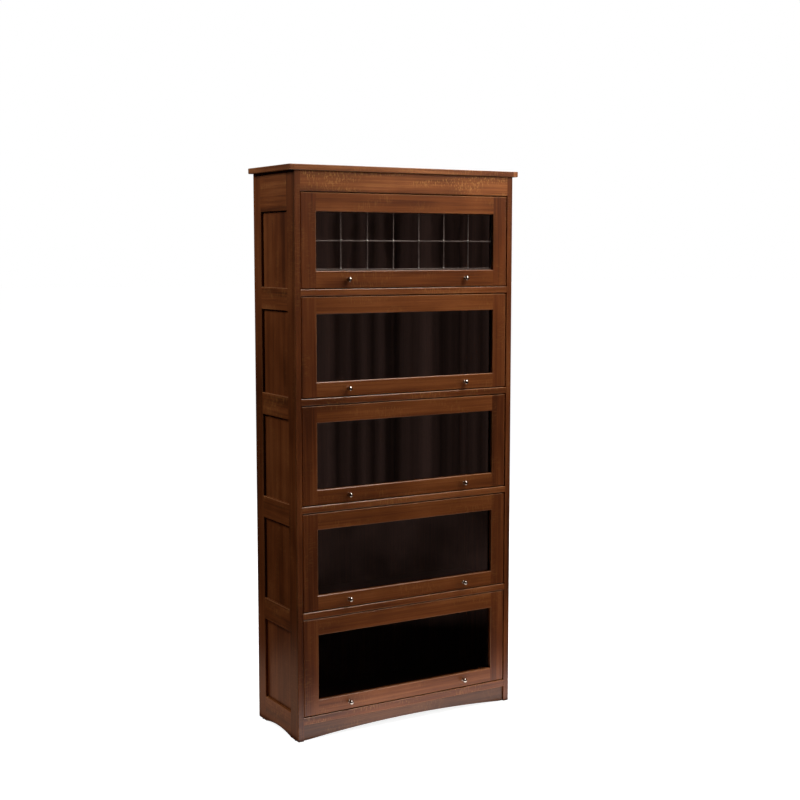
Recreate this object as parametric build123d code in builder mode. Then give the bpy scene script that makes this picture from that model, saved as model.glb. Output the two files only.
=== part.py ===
"""Barrister bookcase with five lift-and-retract glazed doors, in millimetres.

Frame: +Z up, the front faces -Y, origin on the floor at the centre of the whole outline, knobs included.
"""
from build123d import *
import os

# ---- driving dimensions ------------------------------------------------------------------------------
CASE_W = 877.6  # across the outer faces of the side frames
CASE_D = 315.2  # front of the stiles to back of the stiles
CASE_H = 1939.0  # floor to the underside of the top
SIDE_T = 22.0  # thickness of a side frame
PITCH = 366.0  # from one shelf to the next
BOTTOM_TOP = 83.0  # upper face of the bottom board
COMPARTMENTS = 5

TOP_T = 19.0
TOP_SIDE_OVERHANG = 18.4
TOP_FRONT_OVERHANG = 6.0
LIPPING_W = 18.0

BOARD_T = 19.0  # shelves and bottom board
SHELF_RAIL_H = 22.0
BOTTOM_RAIL_H = 25.5
FASCIA_H = 68.0
RAIL_T = 19.0  # fascia and rails, front to back
RAIL_SETBACK = 0.5  # fascia and rails behind the stiles
APRON_T = 16.0
APRON_SETBACK = 6.0
APRON_ARCH_W = 800.0
APRON_ARCH_TOP = 20.0

STILE_W = 57.0  # side-frame stiles, front to back
SIDE_TOP_RAIL_H = 131.0
SIDE_RAIL_H = 76.0
SIDE_RAIL_ABOVE_SHELF = 4.0
SIDE_FOOT_RAIL_TOP = 92.0
SIDE_ARCH_TOP = 14.0
PANEL_T = 5.0
PANEL_SETBACK = 9.5
PANEL_TONGUE = 8.0  # how far a panel enters its frame
PANEL_FIT = 0.5
TENON_L = 22.0
TENON_T = 8.0
TENON_SHOULDER = 10.0

BACK_T = 6.0
BACK_REBATE_D = 8.0
BACK_REBATE_W = 11.0
BACK_FIT = 0.5
BACK_RAIL_T = 18.0
BACK_RAIL_H = 60.0
BACK_FOOT_RAIL_H = 54.0
DADO_D = 4.5
SCREW_HEAD_R = 3.6
SCREW_R = 1.6
SCREW_L = 22.0
SCREW_HEAD_T = 2.4
SCREWS_PER_SIDE = 8
GLIDE_T = 2.0
GLIDE_R = 10.0

DOOR_T = 20.0
DOOR_RECESS = 2.0
DOOR_SIDE_GAP = 2.8
DOOR_FOOT_GAP = 3.5
DOOR_HEAD_GAP = 4.0
DOOR_STILE_W = 56.0
DOOR_TOP_RAIL_H = 57.0
DOOR_BOTTOM_RAIL_H = 50.5
LEADED_TOP_RAIL_H = 62.0
LEADED_BOTTOM_RAIL_H = 57.0
DOOR_TENON_L = 29.0
DOOR_TENON_SETBACK = 4.0  # tenon behind the door's front face
GLASS_T = 3.0
REBATE_W = 8.0
REBATE_D = 7.5
GLASS_FIT = 1.0  # gap between glass and rebate
STOP_END_GAP = 0.2  # between the level and the upright glass stops

CAME_W = 4.5
CAME_T = 5.0
CAME_HEART = 1.2
CAME_PITCH = 103.0
CAME_COLUMNS = 7
CAME_ROWS = 2
CAME_BORDER_SHOWS = 3.0
CAME_FOOT_SHOWS = 7.0

KNOB_X = 237.0
KNOB_OUT = 20.0
KNOB_R = 8.5
KNOB_NECK_R = 2.8
KNOB_BASE_R = 5.6
KNOB_BASE_T = 2.0
KNOB_STUD_R = 2.0
KNOB_STUD_L = 14.0

PIVOT_DROP = 15.0  # hinge axis below the door's top edge
PIN_R = 3.0
PIN_FIT = 0.05
PIN_L = 25.0  # length of pin inside a door stile
COLLAR_R = 4.5
END_PLAY = 0.4
ROLLER_R = 5.1
GROOVE_R = 5.3
GROOVE_D = 8.0
TRAVEL = 270.0  # slide of the four lower doors
LEADED_TRAVEL = 250.0  # slide of the shorter top door
TRAVEL_SPARE = 3.0

STOP_BLOCK_X = 330.0
STOP_BLOCK = (30.0, 14.0, 20.0)
STOP_GAP = 0.3

EASE = 1.5  # softened arris on case and door

# ---- derived places ----------------------------------------------------------------------------------
BACK = (CASE_D + KNOB_OUT - DOOR_RECESS) / 2
FRONT = BACK - CASE_D
OUTER = CASE_W / 2
INNER = OUTER - SIDE_T
RAIL_Y = (FRONT + RAIL_SETBACK, FRONT + RAIL_SETBACK + RAIL_T)
SHELF_Y = (RAIL_Y[1], BACK - BACK_REBATE_D)
SHELF_TOPS = [BOTTOM_TOP + PITCH * level for level in range(COMPARTMENTS)]
APRON_TOP = BOTTOM_TOP - BOTTOM_RAIL_H

SIDE_X = (INNER, OUTER)
BETWEEN_STILES = (FRONT + STILE_W, BACK - STILE_W)
SIDE_TOP_RAIL = (CASE_H - SIDE_TOP_RAIL_H, CASE_H)
SIDE_MID_HEADS = [top + SIDE_RAIL_ABOVE_SHELF for top in reversed(SHELF_TOPS[1:])]
SIDE_RAILS = [SIDE_TOP_RAIL] + [(head - SIDE_RAIL_H, head) for head in SIDE_MID_HEADS]
PANEL_HEADS = [low for low, high in SIDE_RAILS]
PANEL_FEET = SIDE_MID_HEADS + [SIDE_FOOT_RAIL_TOP]
PANEL_X = (OUTER - PANEL_SETBACK - PANEL_T, OUTER - PANEL_SETBACK)

DOOR_Y = (FRONT + DOOR_RECESS, FRONT + DOOR_RECESS + DOOR_T)
DOOR_X = INNER - DOOR_SIDE_GAP
OPENING_X = DOOR_X - DOOR_STILE_W
SHOULDER_Y = DOOR_Y[1] - REBATE_D

BACK_Y = (BACK - BACK_REBATE_D, BACK - BACK_REBATE_D + BACK_T)
BACK_X = INNER + BACK_REBATE_W - BACK_FIT
SCREW_X = INNER + BACK_REBATE_W / 2
SCREW_STEP = (CASE_H - APRON_TOP) / SCREWS_PER_SIDE
SCREW_HEIGHTS = [APRON_TOP + SCREW_STEP * (turn + 0.5) for turn in range(SCREWS_PER_SIDE)]


class Door:
    """Heights, pivot and travel of one door; number 1 is the leaded door at the top."""

    def __init__(self, number):
        level = COMPARTMENTS - number
        self.number = number
        self.leaded = number == 1
        ceiling = CASE_H - FASCIA_H if self.leaded else SHELF_TOPS[level + 1] - SHELF_RAIL_H
        self.foot = SHELF_TOPS[level] + DOOR_FOOT_GAP
        self.head = ceiling - DOOR_HEAD_GAP
        self.open_foot = self.foot + (LEADED_BOTTOM_RAIL_H if self.leaded else DOOR_BOTTOM_RAIL_H)
        self.open_head = self.head - (LEADED_TOP_RAIL_H if self.leaded else DOOR_TOP_RAIL_H)
        self.knob_z = (self.foot + self.open_foot) / 2
        self.pivot_y = DOOR_Y[0] + DOOR_T / 2
        self.pivot_z = self.head - PIVOT_DROP
        self.travel = LEADED_TRAVEL if self.leaded else TRAVEL


DOORS = [Door(number) for number in range(1, COMPARTMENTS + 1)]


# ---- shared helpers ----------------------------------------------------------------------------------
def board(x, y, z, mode=Mode.ADD):
    """Put a board that fills three (low, high) ranges into the part being built."""
    with Locations([tuple((low + high) / 2 for low, high in (x, y, z))]):
        Box(x[1] - x[0], y[1] - y[0], z[1] - z[0], mode=mode)


def both_sides(x, y, z, mode=Mode.ADD):
    """Put the same board on the right and on the left."""
    board(x, y, z, mode)
    board((-x[1], -x[0]), y, z, mode)


def cut_arch(plane, width, crown, depth):
    """Cut a shallow arch, in the given upright plane, into the foot of the part being built."""
    with BuildSketch(plane) as arch:
        with BuildLine():
            ThreePointArc((-width / 2, GLIDE_T), (0, crown), (width / 2, GLIDE_T))
            Line((width / 2, GLIDE_T), (-width / 2, GLIDE_T))
        make_face()
    extrude(arch.sketch, amount=depth, both=True, mode=Mode.SUBTRACT)


def write(part, name):
    """Label a finished part and write its STEP file."""
    part.label = name
    export_step(part, f"parts/{name}.step")


def write_pair(part, name):
    """Write a right-hand part and its mirror image on the left."""
    write(part, f"right_{name}")
    write(mirror(part, about=Plane.YZ, mode=Mode.PRIVATE), f"left_{name}")


os.makedirs("parts", exist_ok=True)


# ---- back screws, which the stiles and the back panel are bored for -----------------------------------
with BuildPart() as one_screw:
    with BuildSketch(Plane.XZ) as screw_half:
        with BuildLine():
            Polyline(
                (0, 0),
                (SCREW_HEAD_R, 0),
                (SCREW_R, -SCREW_HEAD_T),
                (SCREW_R, -SCREW_L + 2 * SCREW_R),
                (0, -SCREW_L),
                close=True,
            )
        make_face()
    revolve(axis=Axis.Z)


def screws(sides, mode=Mode.ADD):
    """Add or cut the countersunk screws of the given sides in the part being built."""
    places = [(side * SCREW_X, BACK_Y[1], z) for side in sides for z in SCREW_HEIGHTS]
    with Locations([Location(place, (-90, 0, 0)) for place in places]):
        add(one_screw.part, mode=mode)


with BuildPart() as back_screws:
    screws((-1, 1))
write(back_screws.part, "back_screws")


# ---- side frames, drawn on the right -----------------------------------------------------------------
def cut_runner_grooves():
    """Cut the blind grooves that the doors' rollers ride in, on the inner face."""
    for door in DOORS:
        run = door.travel + TRAVEL_SPARE
        with BuildSketch(Plane.YZ.offset(INNER)) as groove:
            with Locations((door.pivot_y + run / 2, door.pivot_z)):
                SlotCenterToCenter(run, 2 * GROOVE_R)
        extrude(groove.sketch, amount=GROOVE_D, mode=Mode.SUBTRACT)


def side_tenons(rails, mode):
    """Add or cut the tenons at both ends of the given side rails."""
    middle = (INNER + OUTER) / 2
    x = (middle - TENON_T / 2, middle + TENON_T / 2)
    for low, high in rails:
        z = (low + TENON_SHOULDER, high - TENON_SHOULDER)
        board(x, (BETWEEN_STILES[0] - TENON_L, BETWEEN_STILES[0]), z, mode)
        board(x, (BETWEEN_STILES[1], BETWEEN_STILES[1] + TENON_L), z, mode)


FOOT_RAIL = (GLIDE_T, SIDE_FOOT_RAIL_TOP)
FOOT_RAIL_MIDDLE = (SIDE_ARCH_TOP, SIDE_FOOT_RAIL_TOP)

# The frame is drawn whole, so that its softened arrises run on over the joints, and then cut apart.
with BuildPart() as side_frame:
    board(SIDE_X, (FRONT, BACK), (GLIDE_T, CASE_H))
    for head, foot in zip(PANEL_HEADS, PANEL_FEET):
        board(SIDE_X, BETWEEN_STILES, (foot, head), Mode.SUBTRACT)
    arch_plane = Plane.YZ.shift_origin((0, sum(BETWEEN_STILES) / 2, 0))
    cut_arch(arch_plane.offset(OUTER), BETWEEN_STILES[1] - BETWEEN_STILES[0], SIDE_ARCH_TOP, 2 * SIDE_T)
    chamfer(side_frame.faces().sort_by(Axis.X)[-1].edges(), EASE)
    for head, foot in zip(PANEL_HEADS, PANEL_FEET):
        grooved_y = (BETWEEN_STILES[0] - PANEL_TONGUE, BETWEEN_STILES[1] + PANEL_TONGUE)
        board(PANEL_X, grooved_y, (foot - PANEL_TONGUE, head + PANEL_TONGUE), Mode.SUBTRACT)
    for top in SHELF_TOPS:
        board((INNER, INNER + DADO_D), SHELF_Y, (top - BOARD_T, top), Mode.SUBTRACT)
    cut_runner_grooves()

with BuildPart() as front_stile:
    add(side_frame.part)
    board(SIDE_X, (FRONT, BETWEEN_STILES[0]), (GLIDE_T, CASE_H), Mode.INTERSECT)
    side_tenons(SIDE_RAILS + [FOOT_RAIL_MIDDLE], Mode.SUBTRACT)
write_pair(front_stile.part, "front_stile")

with BuildPart() as back_stile:
    add(side_frame.part)
    board(SIDE_X, (BETWEEN_STILES[1], BACK), (GLIDE_T, CASE_H), Mode.INTERSECT)
    board((INNER, INNER + BACK_REBATE_W), (BACK - BACK_REBATE_D, BACK), (GLIDE_T, CASE_H), Mode.SUBTRACT)
    side_tenons(SIDE_RAILS + [FOOT_RAIL_MIDDLE], Mode.SUBTRACT)
    screws((1,), Mode.SUBTRACT)
write_pair(back_stile.part, "back_stile")

with BuildPart() as side_rails:
    add(side_frame.part)
    board(SIDE_X, BETWEEN_STILES, (SIDE_FOOT_RAIL_TOP + 1, CASE_H), Mode.INTERSECT)
    side_tenons(SIDE_RAILS, Mode.ADD)
    cut_runner_grooves()
write_pair(side_rails.part, "side_rails")

with BuildPart() as side_foot_rail:
    add(side_frame.part)
    board(SIDE_X, BETWEEN_STILES, FOOT_RAIL, Mode.INTERSECT)
    side_tenons([FOOT_RAIL_MIDDLE], Mode.ADD)
write_pair(side_foot_rail.part, "side_foot_rail")

with BuildPart() as side_panels:
    reach = PANEL_TONGUE - PANEL_FIT
    for head, foot in zip(PANEL_HEADS, PANEL_FEET):
        board(PANEL_X, (BETWEEN_STILES[0] - reach, BETWEEN_STILES[1] + reach), (foot - reach, head + reach))
write_pair(side_panels.part, "side_panels")

with BuildPart() as foot_glides:
    stile_centres = (FRONT + STILE_W / 2, BACK - STILE_W / 2)
    with Locations([(side * sum(SIDE_X) / 2, y) for side in (-1, 1) for y in stile_centres]):
        Cylinder(GLIDE_R, GLIDE_T, align=(Align.CENTER, Align.CENTER, Align.MIN))
write(foot_glides.part, "foot_glides")

# ---- top ---------------------------------------------------------------------------------------------
TOP_X = OUTER + TOP_SIDE_OVERHANG
TOP_Y = (FRONT - TOP_FRONT_OVERHANG, BACK)
TOP_Z = (CASE_H, CASE_H + TOP_T)

with BuildPart() as whole_top:
    board((-TOP_X, TOP_X), TOP_Y, TOP_Z)
    fillet(whole_top.faces().sort_by(Axis.Z)[-1].edges(), EASE)
    chamfer(whole_top.faces().sort_by(Axis.Z)[0].edges(), EASE)

with BuildPart() as top_board:
    add(whole_top.part)
    board((LIPPING_W - TOP_X, TOP_X - LIPPING_W), TOP_Y, TOP_Z, Mode.INTERSECT)
write(top_board.part, "top_board")

with BuildPart() as top_lippings:
    add(whole_top.part)
    board((LIPPING_W - TOP_X, TOP_X - LIPPING_W), TOP_Y, TOP_Z, Mode.SUBTRACT)
write(top_lippings.part, "top_lippings")


# ---- front rails, shelves and base -------------------------------------------------------------------
def front_rail(low, high, name):
    """Write a straight rail between the side frames, with its two front arrises softened."""
    with BuildPart() as rail:
        board((-INNER, INNER), RAIL_Y, (low, high))
        chamfer(rail.faces().sort_by(Axis.Y)[0].edges().filter_by(Axis.X), EASE)
    write(rail.part, name)


front_rail(CASE_H - FASCIA_H, CASE_H, "top_fascia")
front_rail(APRON_TOP, BOTTOM_TOP, "bottom_rail")
for number, top in enumerate(reversed(SHELF_TOPS[1:]), start=1):
    front_rail(top - SHELF_RAIL_H, top, f"shelf_rail_{number}")


def shelf(top, name):
    """Write a shelf whose ends sit in the side frames' dadoes."""
    with BuildPart() as plank:
        board((-INNER - DADO_D, INNER + DADO_D), SHELF_Y, (top - BOARD_T, top))
    write(plank.part, name)


shelf(BOTTOM_TOP, "bottom_board")
for number, top in enumerate(reversed(SHELF_TOPS[1:]), start=1):
    shelf(top, f"shelf_{number}")

with BuildPart() as apron:
    board((-INNER, INNER), (FRONT + APRON_SETBACK, FRONT + APRON_SETBACK + APRON_T), (GLIDE_T, APRON_TOP))
    cut_arch(Plane.XZ.offset(-FRONT), APRON_ARCH_W, APRON_ARCH_TOP, 2 * (APRON_SETBACK + APRON_T))
    chamfer(apron.faces().sort_by(Axis.Y)[0].edges().group_by(Axis.Z)[:-1], EASE)
write(apron.part, "apron")

# ---- back --------------------------------------------------------------------------------------------
with BuildPart() as back_panel:
    board((-BACK_X, BACK_X), BACK_Y, (APRON_TOP, CASE_H))
    screws((-1, 1), Mode.SUBTRACT)
write(back_panel.part, "back_panel")

with BuildPart() as back_rails:
    rail_y = (BACK_Y[0] - BACK_RAIL_T, BACK_Y[0])
    board((-INNER, INNER), rail_y, (CASE_H - BACK_RAIL_H, CASE_H))
    board((-INNER, INNER), rail_y, (BOTTOM_TOP - BOARD_T - BACK_FOOT_RAIL_H, BOTTOM_TOP - BOARD_T))
write(back_rails.part, "back_rails")

# ---- closing stops -----------------------------------------------------------------------------------
STOP_Y = DOOR_Y[1] + STOP_GAP

with BuildPart() as stop_blocks:
    for top in SHELF_TOPS:
        x = (STOP_BLOCK_X - STOP_BLOCK[0] / 2, STOP_BLOCK_X + STOP_BLOCK[0] / 2)
        both_sides(x, (STOP_Y, STOP_Y + STOP_BLOCK[1]), (top, top + STOP_BLOCK[2]))
write(stop_blocks.part, "stop_blocks")


# ---- doors -------------------------------------------------------------------------------------------
def door_tenons(door, mode):
    """Add or cut the tenons at both ends of a door's two rails."""
    y = (DOOR_Y[0] + DOOR_TENON_SETBACK, DOOR_Y[0] + DOOR_TENON_SETBACK + TENON_T)
    x = (OPENING_X, OPENING_X + DOOR_TENON_L)
    for low, high in ((door.foot, door.open_foot), (door.open_head, door.head)):
        both_sides(x, y, (low + TENON_SHOULDER, high - TENON_SHOULDER), mode)


def door_wood(door):
    """Write a door's stiles and rails, cut from one drawn frame."""
    width = (-DOOR_X, DOOR_X)
    with BuildPart() as frame:
        board(width, DOOR_Y, (door.foot, door.head))
        board((-OPENING_X, OPENING_X), DOOR_Y, (door.open_foot, door.open_head), Mode.SUBTRACT)
        chamfer(frame.faces().sort_by(Axis.Y)[0].edges(), EASE)
        rebate_x = OPENING_X + REBATE_W
        rebate_z = (door.open_foot - REBATE_W, door.open_head + REBATE_W)
        board((-rebate_x, rebate_x), (SHOULDER_Y, DOOR_Y[1]), rebate_z, Mode.SUBTRACT)

    with BuildPart() as stiles:
        add(frame.part)
        board((-OPENING_X, OPENING_X), DOOR_Y, (door.foot, door.head), Mode.SUBTRACT)
        door_tenons(door, Mode.SUBTRACT)
        with BuildSketch(Plane.YZ.offset(DOOR_X)) as bore:
            with Locations((door.pivot_y, door.pivot_z)):
                Circle(PIN_R + PIN_FIT)
        extrude(bore.sketch, amount=-(PIN_L + 1), mode=Mode.SUBTRACT)
        with BuildSketch(Plane.YZ.offset(-DOOR_X)) as far_bore:
            with Locations((door.pivot_y, door.pivot_z)):
                Circle(PIN_R + PIN_FIT)
        extrude(far_bore.sketch, amount=PIN_L + 1, mode=Mode.SUBTRACT)
    write(stiles.part, f"door_{door.number}_stiles")

    with BuildPart() as rails:
        add(frame.part)
        board((-OPENING_X, OPENING_X), DOOR_Y, (door.foot, door.head), Mode.INTERSECT)
        door_tenons(door, Mode.ADD)
        with BuildSketch(Plane.XZ.offset(-DOOR_Y[0])) as studs:
            with Locations([(-KNOB_X, door.knob_z), (KNOB_X, door.knob_z)]):
                Circle(KNOB_STUD_R)
        extrude(studs.sketch, amount=-KNOB_STUD_L, mode=Mode.SUBTRACT)
    write(rails.part, f"door_{door.number}_rails")


def glass_stops(door, glazing_back):
    """Write the four strips that hold the glazing in its rebate."""
    y = (glazing_back, DOOR_Y[1])
    outer_z = (door.open_foot - REBATE_W, door.open_head + REBATE_W)
    with BuildPart() as stops:
        both_sides((OPENING_X, OPENING_X + REBATE_W), y, outer_z)
        level_x = (STOP_END_GAP - OPENING_X, OPENING_X - STOP_END_GAP)
        board(level_x, y, (outer_z[0], door.open_foot))
        board(level_x, y, (door.open_head, outer_z[1]))
    write(stops.part, f"door_{door.number}_glass_stops")


def plain_glass(door):
    """Write one pane that fills the rebate."""
    reach = REBATE_W - GLASS_FIT
    x = (-OPENING_X - reach, OPENING_X + reach)
    z = (door.open_foot - reach, door.open_head + reach)
    with BuildPart() as pane:
        board(x, (SHOULDER_Y, SHOULDER_Y + GLASS_T), z)
    write(pane.part, f"door_{door.number}_glass")
    glass_stops(door, SHOULDER_Y + GLASS_T)


def clear_spans(low, high, bars):
    """Return the clear spans between two borders with cames centred on the given lines."""
    edges = [low] + [line + step for line in bars for step in (-CAME_W / 2, CAME_W / 2)] + [high]
    return list(zip(edges[::2], edges[1::2]))


def leaded_glass(door):
    """Write the lead came lattice and its panes."""
    low_z, high_z = door.open_foot + CAME_FOOT_SHOWS, door.open_head - CAME_BORDER_SHOWS
    half_w = OPENING_X - CAME_BORDER_SHOWS
    uprights = [CAME_PITCH * (line - CAME_COLUMNS / 2) for line in range(1, CAME_COLUMNS)]
    levels = [low_z + (high_z - low_z) * line / CAME_ROWS for line in range(1, CAME_ROWS)]
    clear = [
        (x, z) for x in clear_spans(-half_w, half_w, uprights) for z in clear_spans(low_z, high_z, levels)
    ]
    entry = (CAME_W - CAME_HEART) / 2
    middle_y = SHOULDER_Y + CAME_T / 2
    pane_y = (middle_y - GLASS_T / 2, middle_y + GLASS_T / 2)
    reach = REBATE_W - GLASS_FIT
    with BuildPart() as panes:
        for x, z in clear:
            board((x[0] - entry, x[1] + entry), pane_y, (z[0] - entry, z[1] + entry))
    write(panes.part, f"door_{door.number}_glass")

    with BuildPart() as came:
        lattice_x = (-OPENING_X - reach, OPENING_X + reach)
        board(lattice_x, (SHOULDER_Y, SHOULDER_Y + CAME_T), (door.open_foot - reach, door.open_head + reach))
        for x, z in clear:
            board(x, (SHOULDER_Y, SHOULDER_Y + CAME_T), z, Mode.SUBTRACT)
        add(panes.part, mode=Mode.SUBTRACT)
    write(came.part, f"door_{door.number}_came")
    glass_stops(door, SHOULDER_Y + CAME_T)


def knobs(door):
    """Write a door's two ball knobs with their screw-in studs."""
    ball_y = KNOB_OUT - KNOB_R
    neck_end = ball_y - (KNOB_R**2 - KNOB_NECK_R**2) ** 0.5
    with BuildPart() as pair:
        for x in (-KNOB_X, KNOB_X):
            seat = Plane(origin=(x, DOOR_Y[0], door.knob_z), x_dir=(1, 0, 0), z_dir=(0, 0, -1))
            with BuildSketch(seat) as half:
                with BuildLine():
                    foot = Polyline(
                        (0, ball_y),
                        (0, -KNOB_STUD_L),
                        (KNOB_STUD_R, -KNOB_STUD_L),
                        (KNOB_STUD_R, 0),
                        (KNOB_BASE_R, 0),
                        (KNOB_BASE_R, KNOB_BASE_T / 2),
                        (KNOB_NECK_R, KNOB_BASE_T),
                        (KNOB_NECK_R, neck_end),
                    )
                    ThreePointArc(foot @ 1, (KNOB_R, ball_y), (0, KNOB_OUT))
                    Line((0, KNOB_OUT), (0, ball_y))
                make_face()
            revolve(half.sketch, axis=Axis((x, DOOR_Y[0], door.knob_z), (0, 1, 0)))
    write(pair.part, f"door_{door.number}_knobs")


def runners(door):
    """Write a door's two pivot pins, each with its collar and roller."""
    collar = (DOOR_X + END_PLAY, INNER - END_PLAY)
    roller = (INNER + END_PLAY, INNER + GROOVE_D - END_PLAY)
    seat = Plane(origin=(0, door.pivot_y, door.pivot_z), x_dir=(1, 0, 0), z_dir=(0, -1, 0))
    with BuildPart() as pair:
        with BuildSketch(seat) as half:
            with BuildLine():
                Polyline(
                    (DOOR_X - PIN_L, 0),
                    (DOOR_X - PIN_L, PIN_R),
                    (collar[0], PIN_R),
                    (collar[0], COLLAR_R),
                    (collar[1], COLLAR_R),
                    (collar[1], PIN_R),
                    (roller[0], PIN_R),
                    (roller[0], ROLLER_R),
                    (roller[1], ROLLER_R),
                    (roller[1], 0),
                    close=True,
                )
            make_face()
        revolve(half.sketch, axis=Axis((0, door.pivot_y, door.pivot_z), (1, 0, 0)))
        mirror(about=Plane.YZ)
    write(pair.part, f"door_{door.number}_runners")


for door in DOORS:
    door_wood(door)
    if door.leaded:
        leaded_glass(door)
    else:
        plain_glass(door)
    knobs(door)
    runners(door)
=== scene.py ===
"""The looks of a barrister bookcase in stained quartersawn oak, built around its CAD frame.

Five doors lift and slide back under the shelves; the top one has a leaded grid. Everything is in metres,
with +Z up and the front facing -Y.
"""

from __future__ import annotations

import logging
import math
from dataclasses import dataclass, replace
from enum import Enum

import bpy
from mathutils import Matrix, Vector

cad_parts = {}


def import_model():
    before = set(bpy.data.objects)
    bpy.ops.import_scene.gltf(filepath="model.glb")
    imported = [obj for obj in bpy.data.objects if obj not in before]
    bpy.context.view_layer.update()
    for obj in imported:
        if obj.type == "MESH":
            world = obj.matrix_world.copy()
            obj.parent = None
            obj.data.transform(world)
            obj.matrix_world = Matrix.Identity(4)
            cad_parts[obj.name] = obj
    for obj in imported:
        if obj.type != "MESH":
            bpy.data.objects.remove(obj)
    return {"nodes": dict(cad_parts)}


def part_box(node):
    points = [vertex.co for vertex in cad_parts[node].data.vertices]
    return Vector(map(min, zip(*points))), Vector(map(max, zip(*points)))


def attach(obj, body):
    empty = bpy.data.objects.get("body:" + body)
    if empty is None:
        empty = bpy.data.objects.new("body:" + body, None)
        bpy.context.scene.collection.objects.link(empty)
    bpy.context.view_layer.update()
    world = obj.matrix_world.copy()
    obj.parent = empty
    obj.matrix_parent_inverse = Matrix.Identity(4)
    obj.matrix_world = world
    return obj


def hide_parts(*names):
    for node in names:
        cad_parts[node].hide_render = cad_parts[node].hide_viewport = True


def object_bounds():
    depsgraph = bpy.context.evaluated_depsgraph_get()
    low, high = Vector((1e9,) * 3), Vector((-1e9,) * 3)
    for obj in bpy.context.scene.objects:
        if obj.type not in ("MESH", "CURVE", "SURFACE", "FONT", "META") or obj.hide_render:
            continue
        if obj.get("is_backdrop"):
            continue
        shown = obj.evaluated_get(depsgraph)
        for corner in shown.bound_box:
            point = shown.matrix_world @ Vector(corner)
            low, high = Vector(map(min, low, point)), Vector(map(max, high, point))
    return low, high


LOG = logging.getLogger("bookcase")
MM = 0.001


class Grain(Enum):
    """The row axis that a board's grain runs along."""

    ACROSS = 0
    DEEP = 1
    UPRIGHT = 2


def linear(colour: str) -> tuple[float, float, float, float]:
    """Turn an sRGB hex colour into the linear RGBA that a shader socket takes.

    Args:
        colour: Six hex digits after a hash sign.

    Returns:
        Linear red, green and blue, and an alpha of 1.
    """
    parts = [int(colour[place : place + 2], 16) / 255 for place in (1, 3, 5)]
    red, green, blue = (c / 12.92 if c <= 0.04045 else ((c + 0.055) / 1.055) ** 2.4 for c in parts)
    return red, green, blue, 1.0


def add_node(
    tree: bpy.types.NodeTree, kind: str, settings: dict, links: dict | None = None
) -> bpy.types.Node:
    """Add a node, with its settings and links.

    Args:
        tree: The node tree that takes it.
        kind: The node's type, such as ShaderNodeTexNoise.
        settings: Values by property name, or by input name or number. A colour ramp's stops are places
            from 0 to 1, each with an sRGB hex colour.
        links: The output sockets that feed its inputs, by input name or number. A Mix node's inputs are 0
            for its share, 2 and 3 for numbers, and 6 and 7 for colours.

    Returns:
        The new node.
    """
    made = tree.nodes.new(kind)
    for name, value in settings.items():
        if name == "stops":
            elements = made.color_ramp.elements
            while len(elements) < len(value):
                elements.new(0.5)
            for element, (place, colour) in zip(elements, value):
                element.position = place
                element.color = linear(colour)
        elif isinstance(name, str) and hasattr(made, name):
            setattr(made, name, value)
        else:
            made.inputs[name].default_value = value
    for name, socket in (links or {}).items():
        tree.links.new(socket, made.inputs[name])
    return made


def new_material(name: str) -> tuple[bpy.types.Material, bpy.types.NodeTree]:
    """Make an empty node material.

    Args:
        name: The material's name.

    Returns:
        The material and its node tree.
    """
    material = bpy.data.materials.new(name)
    material.use_nodes = True
    material.node_tree.nodes.clear()
    return material, material.node_tree


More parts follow.
